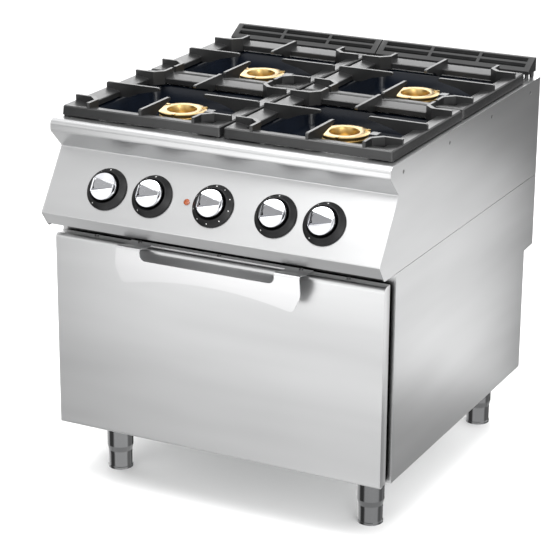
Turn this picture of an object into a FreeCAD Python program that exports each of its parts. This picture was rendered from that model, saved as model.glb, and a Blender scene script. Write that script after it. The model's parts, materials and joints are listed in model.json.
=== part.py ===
import FreeCAD, Part
import os
import re

import Sketcher
from FreeCAD import Placement, Rotation, Vector

# A free-standing commercial range: four open gas burners over an electric static oven.
# Frame: +X right, +Y towards the back, +Z up, origin on the floor under the middle of the
# casing. Lengths are millimetres. Every name in DIMENSIONS is a cell of the sheet "dims".

DIMENSIONS = {
    # casing
    "width": 800, "depth": 900, "deck": 845, "base": 141, "split": 610, "seam": 0.5,
    "skin": 2, "front": -364, "frame_thick": 3, "low_rear": 395, "notch": 434, "notch_top": 437,
    # nose, sloped control panel and lip, seen from the side
    "nose": -405, "nose_low": 819, "fold_y": -362, "fold_z": 776, "lip_z": 646,
    "under_y": -428, "under_z": 616, "nose_round": 14, "chin_round": 10, "bend_round": 3,
    "nose_back": -384,
    # pan supports and what they stand over
    "support_x": 196.5, "support_y": 188.5, "support_wide": 387, "support_deep": 371,
    "rim_low": 848, "rim_top": 870, "rib_top": 882, "rib_low": 853, "rib_thick": 7,
    "rim_wall": 6, "band": 32, "band_drop": 12, "band_thick": 5, "corner_rib": 128,
    "corner_cut": 20, "finger_tip": 56, "pad_high": 3, "pad_round": 7, "pad_inset": 9,
    "basin_wide": 330, "basin_deep": 314, "basin_floor": 785, "basin_lean": 14,
    "basin_flange": 7, "enamel": 1.5, "basin_hole": 24,
    # burners
    "crown_round": 56, "crown_hole": 32.5, "crown_top": 842, "crown_low": 826,
    "throat_round": 19, "throat_bore": 15, "throat_low": 762, "injector_top": 758,
    "pilot_out": 64, "pilot_top": 846,
    # controls, measured up the sloped panel and out from it
    "knob_up": 74, "knob_outer": 257.5, "knob_inner": 146.5, "lamp_x": -63, "lamp_round": 7,
    "bezel_round": 47.5, "bezel_mouth": 37, "bezel_high": 14, "bezel_floor": 3,
    "knob_low": 8, "knob_high": 40, "knob_round": 30.5,
    "spindle_round": 4, "running": 0.05, "spindle_hole": 6.5, "valve_round": 15,
    "valve_near": 12, "valve_far": 58, "pipe_behind": 75, "pipe_round": 10.65,
    "thread_round": 10.48, "feed_round": 4, "feed_z": 735, "pipe_x": 365, "pipe_back": 365,
    "inlet_z": 250, "inlet_end": 440, "gland_x": -300, "gland_round": 14, "gland_bore": 7,
    # oven
    "cavity_x": 280, "cavity_low": 200, "cavity_top": 520, "cavity_back": 320, "wool": 48,
    "liner": 2, "heater_round": 4, "rail_x": 273, "rail_round": 3, "shelf_z": 346,
    "shelf_x": 265, "shelf_front": -340, "shelf_back": 300,
    # door
    "door_x": 393, "door_front": -406, "door_mid": -391.5, "door_back": -376,
    "door_low": 142, "door_top": 589, "door_round": 5, "hinge_y": -386, "hinge_z": 152,
    "hinge_x": 340, "hinge_slot": 7, "pin_round": 3, "arm_thick": 8, "arm_round": 7,
    "screw_x": 193, "screw_far": 302, "screw_y": -383, "screw_hole": 2.6,
    # handle
    "grip_y": -443, "grip_top": 599, "grip_low": 517, "grip_x": 221, "grip_thick": 2,
    "grip_slot_x": 160, "grip_slot_low": 572, "grip_slot_back": -392, "grip_bend": 7,
    "grip_arch": 900,
    # legs
    "leg_x": 316, "leg_front": -278, "leg_back": 350, "sleeve_round": 30.5,
    "sleeve_end": 28, "sleeve_low": 38, "foot_round": 27.5, "stem_round": 18, "stem_top": 100,
    "ring_round": 28.5, "ring_high": 5,
    # flue
    "grille_front": 400, "grille_low": 858, "grille_front_top": 866, "grille_top": 890,
    "grille_x": 388, "grille_gap": 1.5, "grille_wall": 3, "duct_x": 180, "duct_low": 600,
    "duct_wall": 1.5, "side_screw_z": 820.6, "side_screw_round": 4.5,
}

doc = FreeCAD.newDocument("commercial_gas_range")
dims = doc.addObject("Spreadsheet::Sheet", "dims")
for row, (word, size) in enumerate(DIMENSIONS.items(), start=1):
    dims.set(f"A{row}", word)
    dims.set(f"B{row}", str(size))
    dims.setAlias(f"B{row}", word)
doc.recompute()

LEAN = "atan((fold_y + depth / 2) / (fold_z - lip_z))"
TILT = f"90 deg - {LEAN}"
nodes = {}


def formula(text):
    """An expression on the sheet: every dimension's name gets the sheet's name before it."""
    return re.sub(r"[a-z_]+", lambda m: "dims." + m[0] if m[0] in DIMENSIONS else m[0], str(text))


def size_of(text):
    return float(dims.evalExpression(formula(text)))


def bind(part, prop, text):
    part.setExpression(prop, formula(text))


def move(part, x=0, y=0, z=0):
    for letter, text in zip("xyz", (x, y, z)):
        bind(part, f"Placement.Base.{letter}", text)
    return part


def node(name, part):
    """Name a finished sub-part: its label is the name of its file."""
    part.Label = name
    nodes[name] = part
    return part


# ---------------------------------------------------------------- building blocks

def box(x, y, z):
    """A block between a low and a high expression on each axis."""
    part = doc.addObject("Part::Box", "block")
    for prop, (low, high) in zip(("Length", "Width", "Height"), (x, y, z)):
        bind(part, prop, f"({high}) - ({low})")
    return move(part, x[0], y[0], z[0])


AXES = {"x": Rotation(Vector(0, 1, 0), 90), "y": Rotation(Vector(1, 0, 0), -90), "z": Rotation()}


def rod(radius, length, at, axis="z"):
    part = doc.addObject("Part::Cylinder", "rod")
    bind(part, "Radius", radius)
    bind(part, "Height", length)
    part.Placement = Placement(Vector(), AXES[axis])
    return move(part, *at)


def fuse(*parts):
    part = doc.addObject("Part::MultiFuse", "joined")
    part.Shapes = list(parts)
    return part


def cut(base, *tools):
    part = doc.addObject("Part::Cut", "cut")
    part.Base = base
    part.Tool = tools[0] if len(tools) == 1 else fuse(*tools)
    return part


def common(base, tool):
    part = doc.addObject("Part::Common", "trimmed")
    part.Base = base
    part.Tool = tool
    return part


def group(*parts):
    """Separate solids that share one node, or one solid in a new place."""
    part = doc.addObject("Part::Compound", "group")
    part.Links = list(parts)
    return part


def mirror(source, normal):
    part = doc.addObject("Part::Mirroring", "mirrored")
    part.Source = source
    part.Normal = Vector(*normal)
    return part


def copy_at(source, x=0, y=0, z=0):
    return move(group(source), x, y, z)


def outline(sketch, points, rounds, closed):
    """Draw straight runs through points given as pairs of expressions, with rounded corners."""
    spots = [Vector(size_of(u), size_of(v), 0) for u, v in points]
    count = len(spots)
    runs = count if closed else count - 1
    sketch.addGeometry([Part.LineSegment(spots[i], spots[(i + 1) % count]) for i in range(runs)], False)
    for i in range(count if closed else count - 2):
        sketch.addConstraint(Sketcher.Constraint("Coincident", i, 2, (i + 1) % count, 1))
    for i, point in enumerate(points):
        line, end = (i, 1) if i < runs else (i - 1, 2)
        for kind, text, value in zip(("DistanceX", "DistanceY"), point, spots[i]):
            pinned = sketch.addConstraint(Sketcher.Constraint(kind, -1, 1, line, end, value))
            sketch.setExpression(f"Constraints[{pinned}]", formula(text))
    for corner, radius in rounds.items():
        first = sketch.GeometryCount
        sketch.fillet(corner, 1, size_of(radius), True, True)
        arc = [i for i in range(first, sketch.GeometryCount)
               if sketch.Geometry[i].TypeId == "Part::GeomArcOfCircle"][0]
        fixed = sketch.addConstraint(Sketcher.Constraint("Radius", arc, size_of(radius)))
        sketch.setExpression(f"Constraints[{fixed}]", formula(radius))


def body_with_sketch(plane, points, rounds):
    body = doc.addObject("PartDesign::Body", "body")
    sketch = body.newObject("Sketcher::SketchObject", "outline")
    origin_plane = [item for item in body.Origin.OriginFeatures if item.Role == plane][0]
    sketch.AttachmentSupport = [(origin_plane, "")]
    sketch.MapMode = "FlatFace"
    outline(sketch, points, rounds or {}, True)
    return body, sketch


def slab(plane, points, start, thick, rounds=None):
    """A flat piece of any outline; start is where it begins along the plane's normal."""
    body, sketch = body_with_sketch(plane, points, rounds)
    pad = body.newObject("PartDesign::Pad", "pad")
    pad.Profile = sketch
    bind(pad, "Length", thick)
    if plane == "XZ_Plane":
        pad.Reversed = True
    axis = {"XY_Plane": "z", "XZ_Plane": "y", "YZ_Plane": "x"}[plane]
    bind(body, f"Placement.Base.{axis}", start)
    return body


def turned(points, rounds=None):
    """A round piece: points are pairs of radius and height, turned about Z."""
    body, sketch = body_with_sketch("XZ_Plane", points, rounds)
    turn = body.newObject("PartDesign::Revolution", "turn")
    turn.Profile = sketch
    turn.ReferenceAxis = (sketch, ["V_Axis"])
    turn.Angle = 360
    return body


def folded(points, rounds, start, length, thick):
    """Sheet metal folded along X: points are the (y, z) of its outer side, left as one bends it."""
    sketch = doc.addObject("Sketcher::SketchObject", "fold_line")
    sketch.Placement = Placement(Vector(), Rotation(Vector(1, 1, 1), 120))
    outline(sketch, points, rounds, False)
    wall = doc.addObject("Part::Extrusion", "wall")
    wall.Base = sketch
    wall.DirMode = "Normal"
    bind(wall, "LengthFwd", length)
    sheet_metal = doc.addObject("Part::Offset", "sheet_metal")
    sheet_metal.Source = wall
    bind(sheet_metal, "Value", thick)
    sheet_metal.Join = "Intersection"
    sheet_metal.Fill = True
    return move(group(sheet_metal), start)


def on_panel(part, x, up, out=0):
    """Stand a piece on the sloped control panel, its own Z along the panel's normal."""
    part.Placement = Placement(Vector(), Rotation(Vector(1, 0, 0), 45))
    move(part, x, f"({up}) * sin({LEAN}) - ({out}) * cos({LEAN}) - depth / 2",
         f"({up}) * cos({LEAN}) + ({out}) * sin({LEAN}) + lip_z")
    bind(part, "Placement.Rotation.Angle", TILT)
    return part


def tube_route(points, radius):
    """A bent pipe: a rod along each run and a ball at each corner."""
    spots = [Vector(*(size_of(value) for value in point)) for point in points]
    reach = size_of(radius)
    runs = [Part.makeCylinder(reach, (b - a).Length, a, b - a) for a, b in zip(spots, spots[1:])]
    corners = [Part.makeSphere(reach, spot) for spot in spots[1:-1]]
    shape = runs[0]
    for piece in runs[1:] + corners:
        shape = shape.fuse(piece)
    part = doc.addObject("Part::Feature", "route")
    part.Shape = shape.removeSplitter()
    return part


SIDES = {"left": -1, "right": 1}
BURNERS = {1: (-1, -1), 2: (1, -1), 3: (-1, 1), 4: (1, 1)}
GAS_KNOBS = {1: "-knob_outer", 2: "-knob_inner", 3: "knob_inner", 4: "knob_outer"}


# ---------------------------------------------------------------- casing

def upper_casing():
    side = [("depth/2", "deck"), ("nose", "deck"), ("nose", "nose_low"), ("fold_y", "fold_z"),
            ("-depth/2", "lip_z"), ("under_y", "under_z"), ("under_y + 6", "split + seam"),
            ("depth/2", "split + seam")]
    rounds = {1: "nose_round", 2: "chin_round", 3: "bend_round"}
    for word, start in (("left", "-width/2"), ("right", "width/2 - skin")):
        sheet_metal = slab("YZ_Plane", side, start, "skin", rounds)
        holes = [rod("side_screw_round", "skin * 3", (f"{start} - skin", y, "side_screw_z"), "x")
                 for y in SIDE_SCREWS]
        node(f"upper_side_{word}", cut(sheet_metal, *holes))

    fold = [("nose_back", "deck"), ("nose", "deck"), ("nose", "nose_low"), ("fold_y", "fold_z"),
            ("-depth/2 + 0.8", "lip_z"), ("under_y", "under_z"), ("front - 0.5", "under_z")]
    rounds = {1: "nose_round", 2: "chin_round", 3: "bend_round", 4: "bend_round", 5: "bend_round"}
    panel = folded(fold, rounds, "skin - width/2", "width - 2 * skin", "skin")
    holes = [on_panel(rod("spindle_hole", 12, (0, 0, 0)), x, "knob_up", -6)
             for x in [*GAS_KNOBS.values(), "0"]]
    holes.append(on_panel(rod("lamp_round - 1", 12, (0, 0, 0)), "lamp_x", "knob_up", -6))
    node("control_panel", cut(panel, *holes))

    node("upper_back", box(("skin - width/2", "width/2 - skin"), ("depth/2 - skin", "depth/2"),
                           ("split + seam", "deck - skin")))


def worktop():
    deck = box(("skin - width/2", "width/2 - skin"), ("nose_back", "depth/2"), ("deck - skin", "deck"))
    wells = [box((f"{sx} * support_x - basin_wide/2", f"{sx} * support_x + basin_wide/2"),
                 (f"{sy} * support_y - basin_deep/2", f"{sy} * support_y + basin_deep/2"),
                 ("deck - 2 * skin", "deck + skin")) for sx, sy in BURNERS.values()]
    vent = box(("duct_wall - duct_x", "duct_x - duct_wall"), ("grille_front + 5", "depth/2 - 7"),
               ("deck - 2 * skin", "deck + skin"))
    node("worktop", cut(deck, vent, *wells))


def lower_casing():
    side = [("front", "base"), ("low_rear", "base"), ("low_rear", "notch"), ("depth/2", "notch_top"),
            ("depth/2", "split - seam"), ("front", "split - seam")]
    node("lower_side_left", slab("YZ_Plane", side, "-width/2", "skin"))
    node("lower_side_right", slab("YZ_Plane", side, "width/2 - skin", "skin"))

    rear = folded([("low_rear", "base"), ("low_rear", "notch"), ("depth/2", "notch_top"),
                   ("depth/2", "split - seam")], {}, "skin - width/2", "width - 2 * skin", "skin")
    holes = [rod("thread_round + 1", 20, ("pipe_x", "low_rear - 10", "inlet_z"), "y"),
             rod("gland_bore + 2", 20, ("gland_x", "low_rear - 10", "inlet_z"), "y")]
    node("lower_back", cut(rear, *holes))
    node("base_plate", box(("skin - width/2", "width/2 - skin"),
                           ("front + frame_thick", "low_rear - skin"), ("base", "base + skin")))

    face = box(("skin - width/2", "width/2 - skin"), ("front", "front + frame_thick"),
               ("base", "split - seam"))
    mouth = box(("-cavity_x", "cavity_x"), ("front - 5", "front + 10"), ("cavity_low", "cavity_top"))
    node("front_frame", cut(face, mouth))


def legs():
    sleeve = turned([("stem_round + running", "sleeve_low"), ("sleeve_end", "sleeve_low"),
                     ("sleeve_end", "sleeve_low + 5"), ("sleeve_round", "sleeve_low + 18"),
                     ("sleeve_round", "base"), ("stem_round + running", "base")])
    foot = turned([("0", "0"), ("ring_round", "0"), ("ring_round", "ring_high"),
                   ("foot_round", "ring_high + 1"), ("foot_round", "sleeve_low"),
                   ("stem_round", "sleeve_low"), ("stem_round", "stem_top"), ("0", "stem_top")])
    places = [(f"{side} * leg_x", y) for y in ("leg_front", "leg_back") for side in (-1, 1)]
    node("leg_sleeves", group(*[copy_at(sleeve, x, y) for x, y in places]))
    for number, (x, y) in enumerate(places, start=1):
        node(f"foot_{number}", copy_at(foot, x, y))


def side_screws():
    heads = []
    for start in ("-width/2 + 0.7", "width/2 - 0.7 - 8"):
        heads += [rod("side_screw_round - 0.2", 8, (start, y, "side_screw_z"), "x")
                  for y in SIDE_SCREWS]
    node("side_screws", group(*heads))


# ---------------------------------------------------------------- oven

def oven():
    inner = box(("-cavity_x", "cavity_x"), ("front + frame_thick - 1", "cavity_back"),
                ("cavity_low", "cavity_top"))
    shell = box(("-cavity_x - liner", "cavity_x + liner"),
                ("front + frame_thick", "cavity_back + liner"),
                ("cavity_low - liner", "cavity_top + liner"))
    node("oven_liner", cut(shell, inner))

    room = box(("-cavity_x - liner", "cavity_x + liner"), ("front", "cavity_back + liner"),
               ("cavity_low - liner", "cavity_top + liner"))
    wool = box(("-cavity_x - wool", "cavity_x + wool"), ("front + frame_thick + 8", "cavity_back + 45"),
               ("cavity_low - wool", "cavity_top + wool"))
    node("oven_insulation", cut(wool, room))

    plate = box(("-cavity_x + 8", "cavity_x - 8"), ("front + 10", "cavity_back - 12"),
                ("cavity_low", "cavity_low + 20"))
    under = box(("-cavity_x + 11", "cavity_x - 11"), ("front", "cavity_back"),
                ("cavity_low - 1", "cavity_low + 17"))
    node("oven_floor_plate", cut(plate, under))

    ladders = []
    for side in (-1, 1):
        rails = [rod("rail_round", 600, (f"{side} * rail_x", -320, f"shelf_z - 6 + {rise}"), "y")
                 for rise in (-60, 0, 60)]
        posts = [rod("rail_round", 180, (f"{side} * rail_x", y, "shelf_z - 96"))
                 for y in (-290, 250)]
        ladders.append(fuse(*rails, *posts))
    node("rack_guides", group(*ladders))

    frame_rods = [rod(3, "shelf_back - shelf_front",
                      (f"{side} * (shelf_x + 1)", "shelf_front", "shelf_z"), "y") for side in (-1, 1)]
    frame_rods += [rod(3, "2 * shelf_x + 14", ("-shelf_x - 7", f"{y}", "shelf_z"), "x")
                   for y in ("shelf_front + 3", "shelf_back - 3")]
    wires = [rod(2, "shelf_back - shelf_front - 6",
                 (f"shelf_x * {step} / 8", "shelf_front + 3", "shelf_z"), "y") for step in range(-7, 8)]
    node("oven_shelf", fuse(*frame_rods, *wires))

    node("oven_heaters", group(heater("cavity_low + 8"), heater("cavity_top - 12")))


def heater(height):
    """One serpentine element: straight runs joined by half rings, its ends through the back wall."""
    z, reach, pitch, near, far, runs = size_of(height), size_of("heater_round"), 72, -250, 240, 6
    back = size_of("cavity_back")
    lanes = [(index - (runs - 1) / 2) * pitch for index in range(runs)]
    edges = []
    for index, x in enumerate(lanes):
        ends = [Vector(x, back if index in (0, runs - 1) else far, z), Vector(x, near, z)]
        if index % 2:
            ends.reverse()
        edges.append(Part.LineSegment(*ends).toShape())
        if index < runs - 1:
            stop, way = ends[1], (-1 if index % 2 == 0 else 1)
            over = Vector(x + pitch / 2, stop.y + way * pitch / 2, z)
            edges.append(Part.Arc(stop, over, Vector(x + pitch, stop.y, z)).toShape())
    spine = Part.Wire(edges)
    ring = Part.Wire(Part.makeCircle(reach, Vector(lanes[0], back, z), Vector(0, 1, 0)))
    part = doc.addObject("Part::Feature", "heater")
    part.Shape = spine.makePipeShell([ring], True, True)
    return part


def oven_thermostat():
    case = on_panel(group(box((-20, 20), (-20, 20), ("-valve_far", "-valve_near"))), 0, "knob_up")
    shaft = on_panel(rod("spindle_round", "valve_near + knob_high - 12", (0, 0, 0)), 0, "knob_up",
                     "-valve_near")
    bulb = rod(4, 150, ("-cavity_x + 30", -100, "cavity_top - 30"), "y")
    node("oven_thermostat", group(fuse(case, shaft), bulb))


def door_gasket():
    ring = box(("-cavity_x - 22", "cavity_x + 22"), ("door_back + 0.3", "front"),
               ("cavity_low - 22", "cavity_top + 22"))
    hole = box(("-cavity_x - 8", "cavity_x + 8"), ("door_back - 5", "front + 5"),
               ("cavity_low - 8", "cavity_top + 8"))
    node("door_gasket", cut(ring, hole))


# ---------------------------------------------------------------- door

def hinge_pocket(side, grow=0):
    """The room that a frame-side hinge arm needs inside the door, from shut to open."""
    x = f"{side} * hinge_x"
    return box((f"{x} - hinge_slot - {grow}", f"{x} + hinge_slot + {grow}"),
               ("hinge_y - 12", "door_back + 5"), ("door_low - 5", "hinge_z + 12"))


def door():
    pan = slab("YZ_Plane", [("door_mid", "door_low"), ("door_front", "door_low"), ("door_front", "door_top"),
                            ("door_mid", "door_top")], "-door_x", "2 * door_x",
               {1: "door_round", 2: "door_round"})
    room = slab("YZ_Plane", [("door_mid + 5", "door_low + skin"), ("door_front + skin", "door_low + skin"),
                             ("door_front + skin", "door_top - skin"), ("door_mid + 5", "door_top - skin")],
                "skin - door_x", "2 * door_x - 2 * skin", {1: "door_round - skin", 2: "door_round - skin"})
    pockets = [hinge_pocket(side) for side in (-1, 1)]
    node("door_outer_panel", cut(pan, room, *pockets))

    tray = box(("-door_x + 1", "door_x - 1"), ("door_mid + 1", "door_back"),
               ("door_low + 1", "door_top"))
    hollow = box(("-door_x + 3", "door_x - 3"), ("door_mid - 5", "door_back - skin"),
                 ("door_low + 3", "door_top - skin"))
    holes = [rod("screw_hole", 10, (x, "screw_y", "door_top - 5")) for x in DOOR_SCREWS]
    pockets = [hinge_pocket(side) for side in (-1, 1)]
    node("door_inner_panel", cut(tray, hollow, *holes, *pockets))

    wool = box(("-door_x + 4", "door_x - 4"), ("door_front + skin", "door_back - skin"),
               ("door_low + door_round", "door_top - door_round"))
    holes = [rod("screw_hole + 0.5", 20, (x, "screw_y", "door_top - 18")) for x in DOOR_SCREWS]
    pockets = [box((f"{side} * hinge_x - 12", f"{side} * hinge_x + 12"), ("hinge_y - 13", "door_back"),
                   ("door_low", "hinge_z + 24")) for side in (-1, 1)]
    node("door_insulation", cut(wool, *holes, *pockets))

    brackets = []
    for side in (-1, 1):
        cheeks = box((f"{side} * hinge_x - 11", f"{side} * hinge_x + 11"),
                     ("hinge_y - 12", "door_back - skin"), ("door_low + 3", "hinge_z + 23"))
        slot = box((f"{side} * hinge_x - hinge_slot", f"{side} * hinge_x + hinge_slot"),
                   ("hinge_y - 13", "door_back"), ("door_low", "hinge_z + 13"))
        pin = rod("pin_round", 22, (f"{side} * hinge_x - 11", "hinge_y", "hinge_z"), "x")
        brackets.append(fuse(cut(cheeks, slot), pin))
    node("door_hinge_brackets", group(*brackets))

    heads = []
    for x in DOOR_SCREWS:
        under_head = "door_top + grip_thick" if x in GRIP_SCREWS else "door_top"
        head = rod(4.5, 2, (x, "screw_y", under_head))
        shank = rod("screw_hole - 0.1", f"{under_head} - door_top + 12", (x, "screw_y", "door_top - 12"))
        heads.append(fuse(head, shank))
    node("door_screws", group(*heads))


def door_handle():
    """One bent plate: a flange on the door's top edge, a slope, and the blade that hangs in front."""
    blank = folded([("door_back", "door_top + grip_thick"), ("door_front - 2", "door_top + grip_thick"),
                    ("grip_y", "grip_top"), ("grip_y", "grip_low")],
                   {1: 12, 2: "grip_bend"}, "-grip_x", "2 * grip_x", "grip_thick")
    half = [("-grip_x + 5", "grip_top + 20"), ("-grip_x", "grip_low + 36"), ("-grip_x + 17", "grip_low - 1")]
    other = [(f"-({x})", z) for x, z in reversed(half)]
    shape = slab("XZ_Plane", [*half, ("0", "grip_low + 40"), *other], "-depth / 2 - 10", 120,
                 {1: 30, 2: 14, 3: "grip_arch", 4: 14, 5: 30})
    plate = common(blank, shape)
    front_slot = slab("XZ_Plane", [("-grip_slot_x", "grip_top + 10"), ("-grip_slot_x", "grip_slot_low"),
                                   ("grip_slot_x", "grip_slot_low"), ("grip_slot_x", "grip_top + 10")],
                      "grip_y - 10", "grip_slot_back - grip_y + 10", {1: 14, 2: 14})
    holes = [rod("screw_hole", 20, (x, "screw_y", "door_top - 5")) for x in GRIP_SCREWS]
    node("door_handle", cut(plate, front_slot, *holes))


def hinge_arms():
    arms = []
    for side in (-1, 1):
        x = f"{side} * hinge_x"
        foot_plate = box((f"{x} - 12", f"{x} + 12"), ("front - 2", "front"), ("base + 4", "hinge_z + 10"))
        bar = box((f"{x} - arm_thick/2", f"{x} + arm_thick/2"), ("hinge_y", "front - 2"),
                  ("hinge_z - 5", "hinge_z + 5"))
        eye = rod("arm_round", "arm_thick", (f"{x} - arm_thick/2", "hinge_y", "hinge_z"), "x")
        hole = rod("pin_round + running", "arm_thick * 2", (f"{x} - arm_thick", "hinge_y", "hinge_z"), "x")
        arms.append(cut(fuse(foot_plate, bar, eye), hole))
    node("hinge_arms", group(*arms))


# ---------------------------------------------------------------- gas

def frustum(low_x, low_y, low_z, top_x, top_y, top_z):
    """A block whose level top and bottom are rectangles given by half widths."""
    part = doc.addObject("Part::Wedge", "frustum")
    settings = {"Xmin": f"-({low_x})", "Xmax": low_x, "Zmin": f"-({low_y})", "Zmax": low_y,
                "X2min": f"-({top_x})", "X2max": top_x, "Z2min": f"-({top_y})", "Z2max": top_y,
                "Ymin": 0, "Ymax": f"({top_z}) - ({low_z})"}
    for prop, text in settings.items():
        bind(part, prop, text)
    part.Placement = Placement(Vector(), Rotation(Vector(1, 0, 0), 90))
    return move(part, 0, 0, low_z)


def pan_supports():
    wide, deep = "support_wide/2", "support_deep/2"
    wall = cut(box((f"-{wide}", wide), (f"-{deep}", deep), ("rim_low", "rim_top")),
               box((f"rim_wall - {wide}", f"{wide} - rim_wall"), (f"rim_wall - {deep}", f"{deep} - rim_wall"),
                   ("rim_low - 1", "rim_top + 1")))
    low = "rim_top - band_drop"
    slope = frustum(f"{wide} - band", f"{deep} - band", low, wide, deep, "rim_top")
    above = frustum(f"{wide} - band", f"{deep} - band", f"{low} + band_thick",
                    wide, deep, "rim_top + band_thick")
    hole = box((f"band - {wide}", f"{wide} - band"), (f"band - {deep}", f"{deep} - band"),
               ("rim_low", "rim_top"))
    band = cut(slope, above, hole)

    pieces = [wall, band]
    for plane, reach in (("YZ_Plane", deep), ("XZ_Plane", wide)):
        finger = slab(plane, [("finger_tip", "rib_top - 2"), ("finger_tip + 3", "rib_top"),
                              (f"{reach} - 3", "rib_top"), (f"{reach} - 1", "rib_top - 3"),
                              (f"{reach} - 1", "rim_low + 2"), (f"{reach} - band - 6", "rib_low - 3"),
                              ("finger_tip + 45", "rib_top - 18"), ("finger_tip", "rib_top - 9")],
                      "-rib_thick/2", "rib_thick")
        other = mirror(finger, (0, 1, 0) if plane == "YZ_Plane" else (1, 0, 0))
        pieces += [finger, other]
    inner, outer = "corner_rib - rib_thick/2", "corner_rib + rib_thick/2"
    corner = slab("XY_Plane", [(f"{wide} - 1", inner), (f"{wide} - 1", outer),
                               (f"{outer} + corner_cut", outer), (outer, f"{outer} + corner_cut"),
                               (outer, f"{deep} - 1"), (inner, f"{deep} - 1"),
                               (inner, f"{inner} + corner_cut"), (f"{inner} + corner_cut", inner)],
                  "rib_low", "rib_top - rib_low")
    left = mirror(corner, (1, 0, 0))
    pieces += [corner, left, mirror(corner, (0, 1, 0)), mirror(left, (0, 1, 0))]
    pieces += [rod("pad_round", "pad_high + 1",
                   (f"{sx} * ({wide} - pad_inset)", f"{sy} * ({deep} - pad_inset)", "deck"))
               for sx, sy in BURNERS.values()]
    support = fuse(*pieces)
    for number, (sx, sy) in BURNERS.items():
        node(f"pan_support_{number}", copy_at(support, f"{sx} * support_x", f"{sy} * support_y"))


def drip_basins():
    wide, deep = "basin_wide/2 - 1", "basin_deep/2 - 1"
    lean = "basin_lean"
    outside = frustum(f"{wide} - {lean}", f"{deep} - {lean}", "basin_floor", wide, deep, "deck + enamel")
    inside = frustum(f"{wide} - {lean} - enamel", f"{deep} - {lean} - enamel", "basin_floor + enamel",
                     f"{wide} - enamel", f"{deep} - enamel", "deck + enamel + 0.1")
    flange = box((f"-{wide} - basin_flange", f"{wide} + basin_flange"),
                 (f"-{deep} - basin_flange", f"{deep} + basin_flange"), ("deck", "deck + enamel"))
    rim = rod("basin_hole + enamel", 8, (0, 0, "basin_floor"))
    hole = rod("basin_hole", 30, (0, 0, "basin_floor - 10"))
    basin = cut(fuse(cut(fuse(outside, flange), inside), rim), hole)
    node("drip_basins", group(*[copy_at(basin, f"{sx} * support_x", f"{sy} * support_y")
                                for sx, sy in BURNERS.values()]))


def burners():
    crown = turned([("crown_hole", "crown_top - 24"), ("crown_hole", "crown_top"),
                    ("crown_round - 4", "crown_top"), ("crown_round", "crown_top - 3"),
                    ("crown_round", "crown_top - 6"), ("crown_round - 5", "crown_top - 8"),
                    ("crown_round - 5", "crown_low"), ("crown_round - 9", "crown_low"),
                    ("crown_round - 9", "crown_low + 4"), ("crown_hole + 2", "crown_low + 4"),
                    ("crown_hole + 2", "crown_top - 24")])
    cup = turned([("throat_bore", "throat_low"), ("throat_round", "throat_low"),
                  ("throat_round", "basin_floor + 9"), ("throat_round + 22", "basin_floor + 14"),
                  ("crown_round - 6", "crown_low - 18"), ("crown_round - 6", "crown_low"),
                  ("crown_round - 10", "crown_low"), ("crown_round - 10", "crown_low - 15"),
                  ("throat_round + 20", "basin_floor + 19"), ("throat_bore", "basin_floor + 13")])
    pilot = fuse(box(("pilot_out - 3", "pilot_out + 15"), (-11, 11), ("pilot_top - 2", "pilot_top")),
                 box(("pilot_out - 3", "pilot_out - 1"), (-11, 11), ("pilot_top - 14", "pilot_top")),
                 rod(4, "pilot_top - basin_floor - 3", ("pilot_out + 6", 0, "basin_floor + enamel")))
    spots = [(f"{sx} * support_x", f"{sy} * support_y") for sx, sy in BURNERS.values()]
    for number, (x, y) in enumerate(spots, start=1):
        node(f"burner_crown_{number}", copy_at(crown, x, y))
    node("burner_bodies", group(*[copy_at(cup, x, y) for x, y in spots]))
    node("pilot_burners", group(*[copy_at(pilot, x, y) for x, y in spots]))


def behind(out):
    """The (y, z) of a point on the knobs' line, out from the panel (negative is behind it)."""
    return (f"knob_up * sin({LEAN}) - ({out}) * cos({LEAN}) - depth / 2",
            f"knob_up * cos({LEAN}) + ({out}) * sin({LEAN}) + lip_z")


def gas_line():
    y, z = behind("-pipe_behind")
    route = [("-300", y, z), ("pipe_x", y, z), ("pipe_x", "pipe_back", z),
             ("pipe_x", "pipe_back", "inlet_z"), ("pipe_x", "inlet_end - 22", "inlet_z")]
    pipe = tube_route(route, "pipe_round")
    thread = rod("thread_round", 24, ("pipe_x", "inlet_end - 24", "inlet_z"), "y")
    node("gas_manifold", fuse(pipe, thread))

    valves, cases = [], {}
    for knob, x in GAS_KNOBS.items():
        case = on_panel(rod("valve_round", "valve_far - valve_near", (0, 0, 0)), x, "knob_up", "-valve_far")
        cases[knob] = case
        saddle = on_panel(group(box((-15, 15), (-15, 15), ("-pipe_behind", "-valve_far"))), x, "knob_up")
        bore = on_panel(rod("spindle_round + running", 40, (0, 0, 0)), x, "knob_up", "-valve_near - 32")
        pipe_way = rod("pipe_round", 60, (f"{x} - 30", y, z), "x")
        valves.append(cut(fuse(case, saddle), bore, pipe_way))
    node("gas_valves", group(*valves))

    feeds = []
    port_y, port_z = behind("-valve_far + 12")
    for knob, (sx, sy) in {1: (-1, 1), 2: (-1, -1), 3: (1, -1), 4: (1, 1)}.items():
        x = GAS_KNOBS[knob]
        under = (f"{sx} * support_x", f"{sy} * support_y")
        bent = tube_route([(x, port_y, port_z), (x, port_y, "feed_z"),
                           (*under, "feed_z"), (*under, "injector_top - 10")], "feed_round")
        jet = rod(7, 12, (*under, "injector_top - 12"))
        feeds.append(fuse(cut(bent, cases[knob]), jet))
    node("feed_pipes", group(*feeds))


# ---------------------------------------------------------------- controls

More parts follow.
